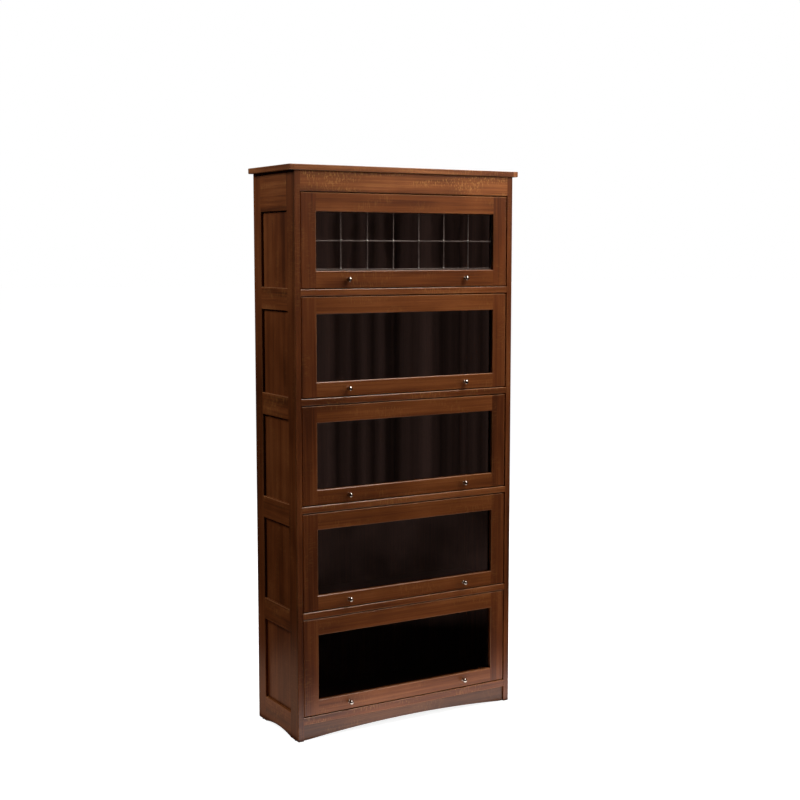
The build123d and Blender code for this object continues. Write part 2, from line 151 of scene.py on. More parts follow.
@dataclass(frozen=True)
class StainedOak:
    """Quartersawn white oak under a dark spirit stain and a rubbed satin varnish.

    The stain goes deep into the pores and the open spring wood, so they read as dark lines, and it hardly
    enters the hard medullary rays, which stay as paler flecks across the grain. The arrises are paler, for
    the stain rubbed thin there and for a painted highlight where they catch the light. Sizes are in
    millimetres. Real pores are about 0.3 mm wide; they are drawn as coarse as a whole bookcase needs to
    show them.
    """

    name: str
    dark: str
    middle: str
    pale: str
    fleck: str
    # The arris colour paints eased edges paler: stain rubbed thin, and a painted highlight where they catch
    # light.
    arris_wear_and_highlight: str
    fleck_strength: float = 0.35
    arris_wear_and_highlight_strength: float = 0.45
    roughness: float = 0.33
    patch_edge: float = 0.5
    cloud_width: float = 210.0
    cloud_length: float = 336.0
    band_width: float = 30.0
    band_length: float = 1400.0
    streak_width: float = 5.0
    streak_length: float = 260.0
    pore_width: float = 1.3
    pore_length: float = 26.0
    fleck_width: float = 4.0
    fleck_length: float = 19.0
    patch_width: float = 48.0
    patch_length: float = 170.0
    streak_share: float = 0.5
    cloud_share: float = 0.35
    stain_spread: float = 0.11
    board_step: float = 0.014
    pore_range: tuple[float, float] = (0.56, 0.72)
    pore_stain: float = 0.5
    pore_dullness: float = 0.15
    fleck_range: tuple[float, float] = (0.54, 0.64)
    patch_softness: float = 0.12
    arris_range: tuple[float, float] = (0.93, 0.80)
    relief: float = 0.12
    relief_strength: float = 0.3

    def layer(
        self,
        tree: bpy.types.NodeTree,
        place: bpy.types.NodeSocket,
        grain: Grain,
        size: tuple[float, float],
        shift: float,
        detail: float,
    ) -> bpy.types.NodeSocket:
        """Add one noise layer, stretched along the grain.

        Args:
            tree: The material's node tree.
            place: The socket with the position on the object, in metres.
            grain: The axis the grain runs along.
            size: The pattern's size along the grain and across it, in millimetres.
            shift: How far the pattern is moved, so that no two boards match.
            detail: The noise's octaves.

        Returns:
            The layer's value socket.
        """
        along, across = size
        scale = [1 / (across * MM)] * 3
        scale[grain.value] = 1 / (along * MM)
        moved = add_node(
            tree,
            "ShaderNodeMapping",
            {"Scale": scale, "Location": (shift, shift * 1.7, shift * 0.6)},
            {"Vector": place},
        )
        settings = {"Scale": 1.0, "Detail": detail, "Roughness": 0.55, "Distortion": 0.25}
        return add_node(tree, "ShaderNodeTexNoise", settings, {"Vector": moved.outputs[0]}).outputs[0]

    def arris_wear_and_highlight_mask(self, tree: bpy.types.NodeTree, normal: bpy.types.NodeSocket) -> bpy.types.NodeSocket:
        """Find the eased edges, whose faces lie between the board's square ones.

        Args:
            tree: The material's node tree.
            normal: The socket with the face's direction on the object.

        Returns:
            A value socket that is 1 on an eased edge and 0 on a square face.
        """
        square, eased = self.arris_range
        size = add_node(tree, "ShaderNodeVectorMath", {"operation": "ABSOLUTE"}, {0: normal})
        axes = add_node(tree, "ShaderNodeSeparateXYZ", {}, {0: size.outputs[0]})
        two = add_node(
            tree, "ShaderNodeMath", {"operation": "MAXIMUM"}, {0: axes.outputs[0], 1: axes.outputs[1]}
        )
        most = add_node(
            tree, "ShaderNodeMath", {"operation": "MAXIMUM"}, {0: two.outputs[0], 1: axes.outputs[2]}
        )
        return add_node(
            tree,
            "ShaderNodeMapRange",
            {"From Min": square, "From Max": eased, "To Max": self.arris_wear_and_highlight_strength},
            {"Value": most.outputs[0]},
        ).outputs[0]

    def material(self, grain: Grain, board: int) -> bpy.types.Material:
        """Build the finish for boards whose grain runs one way.

        Args:
            grain: The axis the grain runs along.
            board: Which board of the stack it is cut from; each has its own figure and shade.

        Returns:
            The material.
        """
        made, tree = new_material(f"{self.name}_{grain.name.lower()}_{board}")
        # Each board starts elsewhere in the noise, and so does each of its layers.
        shift = 3.1 + 7.3 * board + 2.7 * grain.value
        on_object = add_node(tree, "ShaderNodeTexCoord", {})
        place = on_object.outputs["Object"]
        clouds = self.layer(tree, place, grain, (self.cloud_length, self.cloud_width), shift + 5, 2)
        bands = self.layer(tree, place, grain, (self.band_length, self.band_width), shift, 2)
        streaks = self.layer(tree, place, grain, (self.streak_length, self.streak_width), shift + 11, 4)
        pores = self.layer(tree, place, grain, (self.pore_length, self.pore_width), shift + 23, 2)
        rays = self.layer(tree, place, grain, (self.fleck_width, self.fleck_length), shift + 31, 1)
        patches = self.layer(tree, place, grain, (self.patch_length, self.patch_width), shift + 43, 1)

        growth = add_node(
            tree, "ShaderNodeMix", {"data_type": "FLOAT", 0: self.streak_share}, {2: bands, 3: streaks}
        )
        figure = add_node(
            tree,
            "ShaderNodeMix",
            {"data_type": "FLOAT", 0: self.cloud_share},
            {2: growth.outputs[0], 3: clouds},
        )
        # Neighbouring boards take the stain a little differently.
        middle = 0.5 - self.board_step * ((board * 5) % 4 - 1.5)
        shades = [
            (middle - self.stain_spread, self.dark),
            (middle, self.middle),
            (middle + self.stain_spread, self.pale),
        ]
        stained = add_node(tree, "ShaderNodeValToRGB", {"stops": shades}, {"Fac": figure.outputs[0]})

        shallow, deep = self.pore_range
        open_pores = add_node(
            tree,
            "ShaderNodeMapRange",
            {"From Min": shallow, "From Max": deep, "To Max": self.pore_stain},
            {"Value": pores},
        )
        pored = add_node(
            tree,
            "ShaderNodeMix",
            {"data_type": "RGBA", 7: linear(self.dark)},
            {0: open_pores.outputs[0], 6: stained.outputs[0]},
        )

        edge, heart = self.fleck_range
        ray_edge = add_node(
            tree, "ShaderNodeMapRange", {"From Min": edge, "From Max": heart}, {"Value": rays}
        )
        patch_end = self.patch_edge + self.patch_softness
        ray_patch = add_node(
            tree,
            "ShaderNodeMapRange",
            {"From Min": self.patch_edge, "From Max": patch_end, "To Max": self.fleck_strength},
            {"Value": patches},
        )
        shown = add_node(
            tree,
            "ShaderNodeMath",
            {"operation": "MULTIPLY"},
            {0: ray_edge.outputs[0], 1: ray_patch.outputs[0]},
        )
        flecked = add_node(
            tree,
            "ShaderNodeMix",
            {"data_type": "RGBA", 7: linear(self.fleck)},
            {0: shown.outputs[0], 6: pored.outputs[2]},
        )
        # Paler arrises: stain rubbed thin there, plus a painted highlight for the light the edges catch.
        rubbed = add_node(
            tree,
            "ShaderNodeMix",
            {"data_type": "RGBA", 7: linear(self.arris_wear_and_highlight)},
            {0: self.arris_wear_and_highlight_mask(tree, on_object.outputs["Normal"]), 6: flecked.outputs[2]},
        )

        dulled = add_node(
            tree,
            "ShaderNodeMapRange",
            {"To Min": self.roughness, "To Max": self.roughness + self.pore_dullness},
            {"Value": open_pores.outputs[0]},
        )
        relief = add_node(
            tree, "ShaderNodeMath", {"operation": "SUBTRACT"}, {0: streaks, 1: open_pores.outputs[0]}
        )
        bump = add_node(
            tree,
            "ShaderNodeBump",
            {"Strength": self.relief_strength, "Distance": self.relief * MM},
            {"Height": relief.outputs[0]},
        )
        shader = add_node(
            tree,
            "ShaderNodeBsdfPrincipled",
            {"IOR": 1.5, "Specular IOR Level": 0.36},
            {"Base Color": rubbed.outputs[2], "Roughness": dulled.outputs[0], "Normal": bump.outputs[0]},
        )
        add_node(tree, "ShaderNodeOutputMaterial", {}, {"Surface": shader.outputs[0]})
        return made


@dataclass(frozen=True)
class PlainFinish:
    """A metal or plastic with a faint mottle in its colour and gloss, such as handling leaves.

    The mottle and the relief are in millimetres.
    """

    name: str
    base: str
    worn: str
    metallic: float
    roughness: float
    mottle: float = 8.0
    mottle_range: tuple[float, float] = (0.35, 0.7)
    gloss_spread: tuple[float, float] = (0.8, 1.25)
    relief: float = 0.01
    relief_strength: float = 0.4

    def material(self) -> bpy.types.Material:
        """Build the finish.

        Returns:
            The material.
        """
        made, tree = new_material(self.name)
        place = add_node(tree, "ShaderNodeTexCoord", {}).outputs["Object"]
        noise = add_node(
            tree, "ShaderNodeTexNoise", {"Scale": 1 / (self.mottle * MM), "Detail": 3.0}, {"Vector": place}
        )
        clean, rubbed = self.mottle_range
        shades = [(clean, self.base), (rubbed, self.worn)]
        colour = add_node(tree, "ShaderNodeValToRGB", {"stops": shades}, {"Fac": noise.outputs[0]})
        smoothest, roughest = (self.roughness * part for part in self.gloss_spread)
        gloss = add_node(
            tree,
            "ShaderNodeMapRange",
            {"To Min": smoothest, "To Max": roughest},
            {"Value": noise.outputs[0]},
        )
        bump = add_node(
            tree,
            "ShaderNodeBump",
            {"Strength": self.relief_strength, "Distance": self.relief * MM},
            {"Height": noise.outputs[0]},
        )
        shader = add_node(
            tree,
            "ShaderNodeBsdfPrincipled",
            {"Metallic": self.metallic},
            {"Base Color": colour.outputs[0], "Roughness": gloss.outputs[0], "Normal": bump.outputs[0]},
        )
        add_node(tree, "ShaderNodeOutputMaterial", {}, {"Surface": shader.outputs[0]})
        return made


@dataclass(frozen=True)
class SheetGlass:
    """Soda-lime sheet, whose drawn surface is never quite flat, so reflections in it waver.

    The waves are in millimetres.
    """

    name: str
    tint: str
    wave_width: float
    wave_depth: float

    def material(self) -> bpy.types.Material:
        """Build the finish.

        Returns:
            The material.
        """
        made, tree = new_material(self.name)
        place = add_node(tree, "ShaderNodeTexCoord", {}).outputs["Object"]
        wave = add_node(
            tree,
            "ShaderNodeTexNoise",
            {"Scale": 1 / (self.wave_width * MM), "Detail": 0.0},
            {"Vector": place},
        )
        bump = add_node(
            tree,
            "ShaderNodeBump",
            {"Strength": 1.0, "Distance": self.wave_depth * MM},
            {"Height": wave.outputs[0]},
        )
        shader = add_node(
            tree,
            "ShaderNodeBsdfPrincipled",
            {"Base Color": linear(self.tint), "Roughness": 0.0, "IOR": 1.5, "Transmission Weight": 1.0},
            {"Normal": bump.outputs[0]},
        )
        add_node(tree, "ShaderNodeOutputMaterial", {}, {"Surface": shader.outputs[0]})
        return made


# White oak, quartersawn, under a brown spirit stain and rubbed varnish: dark pores and golden flecks.
# Each oak's last colour is its arris colour: rubbed stain and a painted highlight.
CASE_OAK = StainedOak("case_oak", "#4E250C", "#723C1A", "#8C522B", "#B07A42", "#B0764A")
# Door rails, cut from plainer boards.
RAIL_OAK = replace(
    CASE_OAK,
    name="rail_oak",
    dark="#55290E",
    middle="#743E1A",
    pale="#884F28",
    fleck_strength=0.16,
    arris_wear_and_highlight_strength=0.5,
)
# The fascia, the showiest board, with small close flecks.
FASCIA_OAK = replace(
    CASE_OAK,
    name="fascia_oak",
    dark="#5E3116",
    middle="#834924",
    pale="#9E6436",
    fleck="#BC8548",
    fleck_strength=0.55,
    patch_edge=0.44,
    fleck_width=3.2,
    fleck_length=10.0,
    patch_length=260.0,
)
# The foot boards drank more of the stain and show hardly any ray.
APRON_OAK = replace(
    CASE_OAK,
    name="apron_oak",
    dark="#3D2010",
    middle="#593218",
    pale="#6E4224",
    fleck_strength=0.14,
)
# Upright boards and side panels, with their rays nearly edge-on. They are painted darker than the
# cross-grain boards, as painted shade for upright grain that catches less sheen from the light above.
SHADED_STILE_OAK = replace(
    CASE_OAK,
    name="shaded_stile_oak",
    dark="#472009",
    middle="#673415",
    pale="#7E4723",
    fleck_strength=0.12,
)
# The top, which has been polished and handled most.
TOP_OAK = StainedOak("top_oak", "#5C2E14", "#834C28", "#A56B3F", "#BC8850", "#C08C60", fleck_strength=0.3)
# The same oak inside, where it had one thin coat and stays dull. It is painted much darker, as painted
# shade for the inside of the closed case.
SHADED_INSIDE_OAK = StainedOak("shaded_inside_oak", "#2C180D", "#422615", "#58341D", "#634020", "#634020", roughness=0.6)
# Rotary-cut oak plywood for the back: broad, wandering growth bands and no ray flecks. It keeps the
# inside oak's darker painted-shade colours.
BACK_PLYWOOD = replace(
    SHADED_INSIDE_OAK, name="back_plywood", fleck_strength=0.0, band_width=60.0, band_length=700.0
)
# Turned brass under nickel plate: warm white metal, with its polish a little dulled by hands.
NICKEL = PlainFinish("polished_nickel", "#C4B8AC", "#A89C90", 1.0, 0.19)
# Rolled zinc came, gone dull grey with a soft sheen.
ZINC_CAME = PlainFinish("dull_zinc_came", "#675C56", "#796D66", 1.0, 0.42, relief=0.03)
# Tinned solder, wiped over the joints.
SOLDER = PlainFinish("tinned_solder", "#A9A49B", "#8F8A82", 1.0, 0.3, mottle=3.0, relief=0.05)
# Bright zinc plate on steel.
PLATED_STEEL = PlainFinish("zinc_plated_steel", "#9A978F", "#7E7B73", 1.0, 0.35)
# Moulded nylon.
NYLON = PlainFinish("black_nylon", "#141210", "#1F1C1A", 0.0, 0.55)
# Drawn soda-lime sheet. It is greyer than new glass, for the years of smoke and dust on it.
CLEAR_GLASS = SheetGlass("clear_sheet_glass", "#B6B4B0", 120.0, 0.02)
LEADED_GLASS = SheetGlass("drawn_leaded_glass", "#B4B2AE", 60.0, 0.05)


class Workshop:
    """The CAD nodes, and the finishes in use, each made once."""

    def __init__(self, nodes: dict[str, bpy.types.Object]) -> None:
        """Start with the nodes and no finishes.

        Args:
            nodes: The CAD nodes by name.
        """
        self.nodes = nodes
        self.made: dict[tuple, bpy.types.Material] = {}

    def oak(self, kind: StainedOak, grain: Grain, board: int) -> bpy.types.Material:
        """Give the finish for an oak board, cut from one of three stacks.

        Args:
            kind: The oak's stain and figure.
            grain: The axis its grain runs along.
            board: The board's number.

        Returns:
            The material.
        """
        key = (kind.name, grain, board % 3)
        if key not in self.made:
            self.made[key] = kind.material(grain, board % 3)
        return self.made[key]

    def plain(self, finish: PlainFinish | SheetGlass) -> bpy.types.Material:
        """Give a metal, plastic or glass finish.

        Args:
            finish: The finish.

        Returns:
            The material.
        """
        if (finish.name,) not in self.made:
            self.made[(finish.name,)] = finish.material()
        return self.made[(finish.name,)]

    def dress(self, name: str, material: bpy.types.Material) -> None:
        """Give a CAD node its finish.

        Args:
            name: The node's name.
            material: The finish.
        """
        piece = self.nodes[name]
        if not piece.material_slots:
            piece.data.materials.append(material)
        for slot in piece.material_slots:
            slot.material = material
        LOG.info("%s: %s", name, material.name)


def start_piece(name: str) -> bpy.types.Object:
    """Name the primitive just added.

    Args:
        name: The piece's name.

    Returns:
        The piece.
    """
    piece = bpy.context.object
    piece.name = name
    piece.data.name = name
    return piece


def settle(piece: bpy.types.Object) -> None:
    """Put a piece's place, turn and size into its mesh, so that its object sits at the origin.

    Args:
        piece: The piece, which ends up selected and active.
    """
    bpy.ops.object.select_all(action="DESELECT")
    piece.select_set(True)
    bpy.context.view_layer.objects.active = piece
    bpy.ops.object.transform_apply(location=True, rotation=True, scale=True)


def joined(name: str, pieces: list[bpy.types.Object]) -> bpy.types.Object:
    """Join several objects into one.

    Args:
        name: The new piece's name.
        pieces: The objects, which become one mesh.

    Returns:
        The piece.
    """
    bpy.ops.object.select_all(action="DESELECT")
    for piece in pieces:
        piece.select_set(True)
    bpy.context.view_layer.objects.active = pieces[0]
    bpy.ops.object.join()
    whole = bpy.context.object
    whole.name = name
    whole.data.name = name
    settle(whole)
    return whole


@dataclass
class Knobs:
    """A door's two turned knobs: a ball on a short neck that grows out of a small round base.

    The base and the neck are turned in millimetres, as distances out from the door with the radius there.
    """

    door: str
    sides: int = 32
    base: tuple[tuple[float, float], ...] = ((0.0, 5.6), (0.9, 5.6), (1.5, 5.1), (1.9, 4.1), (2.6, 3.15))
    neck: tuple[float, float] = (3.1, 2.8)
    ball_steps: int = 12
    smooth_angle: float = 50.0

    def profile(self, reach: float, ball: float) -> list[tuple[float, float]]:
        """Work out the turning, from the door outwards.

        Args:
            reach: How far the knob stands out.
            ball: The ball's radius.

        Returns:
            Distances from the door, each with the radius there, up to the ring before the ball's tip.
        """
        turned = [*self.base, self.neck]
        start = math.asin(self.neck[1] / ball)
        for step in range(self.ball_steps + 1):
            angle = start + (math.pi - start) * step / (self.ball_steps + 1)
            turned.append((reach - ball - ball * math.cos(angle), ball * math.sin(angle)))
        return turned

    def turn(
        self, name: str, centre: tuple[float, float, float], reach: float, ball: float
    ) -> bpy.types.Object:
        """Turn one knob by drawing a disc out from the door and sizing each ring.

        Args:
            name: The knob's name.
            centre: The middle of its base, on the door's face, in metres.
            reach: How far it stands out, in millimetres.
            ball: The ball's radius, in millimetres.

        Returns:
            The knob's object.
        """
        rings = self.profile(reach, ball)
        bpy.ops.mesh.primitive_circle_add(
            vertices=self.sides,
            radius=rings[0][1] * MM,
            fill_type="NGON",
            location=centre,
            rotation=(math.radians(90), 0, 0),
        )
        knob = start_piece(name)
        settle(knob)
        bpy.ops.object.mode_set(mode="EDIT")
        bpy.ops.mesh.select_all(action="SELECT")
        x, y, z = centre
        before = rings[0]
        for out, radius in rings[1:]:
            bpy.ops.mesh.extrude_region_move(
                TRANSFORM_OT_translate={"value": (0, -(out - before[0]) * MM, 0)}
            )
            size = radius / before[1]
            bpy.ops.transform.resize(value=(size, 1, size), center_override=(x, y - out * MM, z))
            before = (out, radius)
        bpy.ops.mesh.extrude_region_move(
            TRANSFORM_OT_translate={"value": (0, -(reach - before[0]) * MM, 0)}
        )
        bpy.ops.mesh.merge(type="CENTER")
        bpy.ops.mesh.select_all(action="SELECT")
        bpy.ops.mesh.normals_make_consistent(inside=False)
        bpy.ops.object.mode_set(mode="OBJECT")
        bpy.ops.object.shade_smooth_by_angle(angle=math.radians(self.smooth_angle))
        return knob

    def build(self, shop: Workshop) -> None:
        """Turn both knobs, and fit them in place of the plain ones.

        Args:
            shop: The nodes and finishes.
        """
        node = f"{self.door}_knobs"
        low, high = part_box(node)
        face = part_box(f"{self.door}_stiles")[0].y
        ball = (high.z - low.z) / 2
        level = (high.z + low.z) / 2
        pair = []
        for side, x in (("left", low.x + ball), ("right", high.x - ball)):
            name = f"{self.door}_{side}_knob"
            pair.append(self.turn(name, (x, face, level), (face - low.y) / MM, ball / MM))
        piece = joined(f"{self.door}_turned_knobs", pair)
        piece.data.materials.clear()
        piece.data.materials.append(shop.plain(NICKEL))
        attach(piece, self.door)
        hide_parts(node)
        LOG.info("%s: two turned knobs", self.door)


@dataclass
class LeadedGrid:
    """The top door's came: rounded leaves in seven columns and two rows, soldered where they meet.

    Sizes are in millimetres. The came's outermost few are hidden in the door's frame.
    """

    columns: int = 7
    pitch: float = 103.0
    hidden: float = 7.0
    border: float = 3.0
    foot_border: float = 7.0
    rounding: float = 0.45
    joint_radius: float = 4.0
    joint_height: float = 0.7
    border_joint: float = 0.75
    drop_segments: int = 14
    drop_rings: int = 8
    smooth_angle: float = 40.0

    def build(self, shop: Workshop) -> None:
        """Round the came's leaves, add the solder, and fit both in place of the square came.

        Args:
            shop: The nodes and finishes.
        """
        node = "door_1_came"
        came = merged_copy(shop.nodes[node], "door_1_rounded_came")
        bevel = came.modifiers.new("rounding", "BEVEL")
        bevel.width = self.rounding * MM
        bevel.segments = 2
        bevel.limit_method = "ANGLE"
        bpy.context.view_layer.objects.active = came
        bpy.ops.object.modifier_apply(modifier=bevel.name)
        bpy.ops.object.shade_smooth_by_angle(angle=math.radians(self.smooth_angle))
        came.data.materials.clear()
        came.data.materials.append(shop.plain(ZINC_CAME))
        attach(came, "door_1")
        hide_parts(node)
        self.solder(shop)
        LOG.info("door_1: leaded grid")

    def solder(self, shop: Workshop) -> None:
        """Wipe a flat drop of solder over each joint, in front and behind, smaller at the border.

        Args:
            shop: The nodes and finishes.
        """
        low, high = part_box("door_1_came")
        foot = low.z + (self.hidden + self.foot_border) * MM
        head = high.z - (self.hidden + self.border) * MM
        edge = high.x - (self.hidden + self.border) * MM
        level = (foot + head) / 2
        lines = [self.pitch * MM * (line - self.columns / 2) for line in range(1, self.columns)]
        places = [(x, level, 1.0) for x in lines]
        places += [(x, z, self.border_joint) for x in lines for z in (foot, head)]
        places += [(x, level, self.border_joint) for x in (-edge, edge)]
        drops = []
        for x, z, size in places:
            for y in (low.y, high.y):
                bpy.ops.mesh.primitive_uv_sphere_add(
                    segments=self.drop_segments,
                    ring_count=self.drop_rings,
                    radius=self.joint_radius * size * MM,
                    location=(x, y, z),
                )
                drop = start_piece(f"solder_{len(drops)}")
                drop.scale = (1.0, self.joint_height / self.joint_radius, 1.0)
                settle(drop)
                bpy.ops.object.shade_smooth()
                drops.append(drop)
        piece = joined("door_1_solder", drops)
        piece.data.materials.clear()
        piece.data.materials.append(shop.plain(SOLDER))
        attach(piece, "door_1")


def merged_copy(node: bpy.types.Object, name: str) -> bpy.types.Object:
    """Copy a CAD node as a merged mesh that may be changed.

    Args:
        node: The CAD node.
        name: The copy's name.

    Returns:
        The copy, selected and active.
    """
    copy = bpy.data.objects.new(name, node.data.copy())
    bpy.context.scene.collection.objects.link(copy)
    bpy.ops.object.select_all(action="DESELECT")
    copy.select_set(True)
    bpy.context.view_layer.objects.active = copy
    bpy.ops.object.mode_set(mode="EDIT")
    bpy.ops.mesh.select_all(action="SELECT")
    bpy.ops.mesh.remove_doubles(threshold=0.00001)
    bpy.ops.mesh.tris_convert_to_quads()
    bpy.ops.mesh.dissolve_limited(angle_limit=math.radians(1))
    bpy.ops.object.mode_set(mode="OBJECT")
    return copy


@dataclass(frozen=True)
class Softbox:
    """A large soft studio light. A flagged one is kept out of the gloss, so it leaves no highlight.

    Places and sizes are in metres, and the power is in watts.
    """

    name: str
    place: tuple[float, float, float]
    aim: tuple[float, float, float]
    size: tuple[float, float]
    power: float
    flagged: bool = False

    def build(self) -> bpy.types.Object:
        """Hang the light, turned towards its aim.

        Returns:
            The light's object.
        """
        light = bpy.data.lights.new(self.name, "AREA")
        light.shape = "RECTANGLE"
        light.size, light.size_y = self.size
        light.energy = self.power
        lamp = bpy.data.objects.new(self.name, light)
        lamp.location = self.place
        lamp.visible_glossy = not self.flagged
        lamp.rotation_euler = (Vector(self.aim) - Vector(self.place)).to_track_quat("-Z", "Y").to_euler()
        bpy.context.scene.collection.objects.link(lamp)
        return lamp


# A near key and a small sheen light over the front, a wide overhead, and far fills all round.
LIGHTS = (
    Softbox("key", (0.7, -1.1, 3.0), (0.1, -0.15, 1.6), (1.2, 0.5), 25),
    Softbox("sheen", (1.45, -1.5, 2.7), (0.3, -0.15, 1.9), (0.6, 0.5), 10),
    Softbox("overhead", (1.2, -0.35, 3.9), (0.1, -0.1, 1.5), (1.8, 0.8), 75),
    Softbox("front_fill", (5.0, -2.7, 2.0), (0, 0, 0.9), (1.2, 1.8), 116, flagged=True),
    Softbox("left_fill", (-2.4, 1.1, 3.3), (-0.4, 0, 0.8), (1.2, 1.2), 57),
    Softbox("back_fill", (2.6, 2.6, 2.2), (0, 0.1, 1.0), (1.8, 1.8), 60, flagged=True),
)


@dataclass(frozen=True)
class Room:
    """The dim room that lights the case and shows in the glass, behind a backdrop that is white to the eye.

    A curtain hangs in folds on the right, over a low, mottled wall. Each range is of a direction's part
    along one axis, from where something starts to where it is full: up for the hem and the plinth, right
    for the side, and back for the front.
    """

    dark: str = "#120C0B"
    lit: str = "#9A766C"
    backdrop: str = "#FFFFFF"
    fold_scale: float = 40.0
    fold_range: tuple[float, float] = (0.32, 0.68)
    mottle_scale: float = 22.0
    mottle_range: tuple[float, float] = (0.35, 0.65)
    wall_glow: tuple[float, float] = (0.28, 0.75)
    hem: tuple[float, float] = (-0.19, -0.172)
    plinth: tuple[float, float] = (-0.27, -0.25)
    side: tuple[float, float] = (0.2, 0.4)
    front: tuple[float, float] = (-0.5, -0.7)

    def cover(
        self, tree: bpy.types.NodeTree, facing: bpy.types.NodeSocket, way: bpy.types.Node
    ) -> bpy.types.NodeSocket:
        """Draw the curtain's folds and the mottled wall below its hem.

        Args:
            tree: The world's node tree.
            facing: The socket with the direction looked in.
            way: The node that parts that direction into its axes.

        Returns:
            The socket with how pale the cloth or wall is.
        """
        turn = add_node(
            tree, "ShaderNodeMath", {"operation": "ARCTAN2"}, {0: way.outputs[0], 1: way.outputs[1]}
        )
        folds = add_node(
            tree,
            "ShaderNodeTexNoise",
            {"noise_dimensions": "1D", "Scale": self.fold_scale, "Detail": 3.0, "Roughness": 0.65},
            {"W": turn.outputs[0]},
        )
        deep, raised = self.fold_range
        cloth = add_node(
            tree, "ShaderNodeMapRange", {"From Min": deep, "From Max": raised}, {"Value": folds.outputs[0]}
        )
        mottle = add_node(
            tree, "ShaderNodeTexNoise", {"Scale": self.mottle_scale, "Detail": 4.0}, {"Vector": facing}
        )
        low, high = self.mottle_range
        dim, bright = self.wall_glow
        wall = add_node(
            tree,
            "ShaderNodeMapRange",
            {"From Min": low, "From Max": high, "To Min": dim, "To Max": bright},
            {"Value": mottle.outputs[0]},
        )
        start, full = self.hem
        hem = add_node(
            tree, "ShaderNodeMapRange", {"From Min": start, "From Max": full}, {"Value": way.outputs[2]}
        )
        return add_node(
            tree,
            "ShaderNodeMix",
            {"data_type": "FLOAT"},
            {0: hem.outputs[0], 2: wall.outputs[0], 3: cloth.outputs[0]},
        ).outputs[0]

    def build(self) -> bpy.types.World:
        """Make the world.

        Returns:
            The world.
        """
        world = bpy.data.worlds.new("studio")
        world.use_nodes = True
        tree = world.node_tree
        tree.nodes.clear()
        facing = add_node(tree, "ShaderNodeTexCoord", {}).outputs[0]
        way = add_node(tree, "ShaderNodeSeparateXYZ", {}, {0: facing})
        shown = self.cover(tree, facing, way)
        for axis, (start, full) in enumerate((self.side, self.front, self.plinth)):
            within = add_node(
                tree,
                "ShaderNodeMapRange",
                {"From Min": start, "From Max": full},
                {"Value": way.outputs[axis]},
            )
            shown = add_node(
                tree, "ShaderNodeMath", {"operation": "MULTIPLY"}, {0: shown, 1: within.outputs[0]}
            ).outputs[0]
        shades = [(0.0, self.dark), (1.0, self.lit)]
        shade = add_node(tree, "ShaderNodeValToRGB", {"stops": shades}, {"Fac": shown})
        dim = add_node(tree, "ShaderNodeBackground", {"Strength": 1.0}, {"Color": shade.outputs[0]})
        white = add_node(tree, "ShaderNodeBackground", {"Color": linear(self.backdrop), "Strength": 1.0})
        seen = add_node(tree, "ShaderNodeLightPath", {}).outputs["Is Camera Ray"]
        both = add_node(
            tree, "ShaderNodeMixShader", {}, {0: seen, 1: dim.outputs[0], 2: white.outputs[0]}
        )
        add_node(tree, "ShaderNodeOutputWorld", {}, {"Surface": both.outputs[0]})
        return world


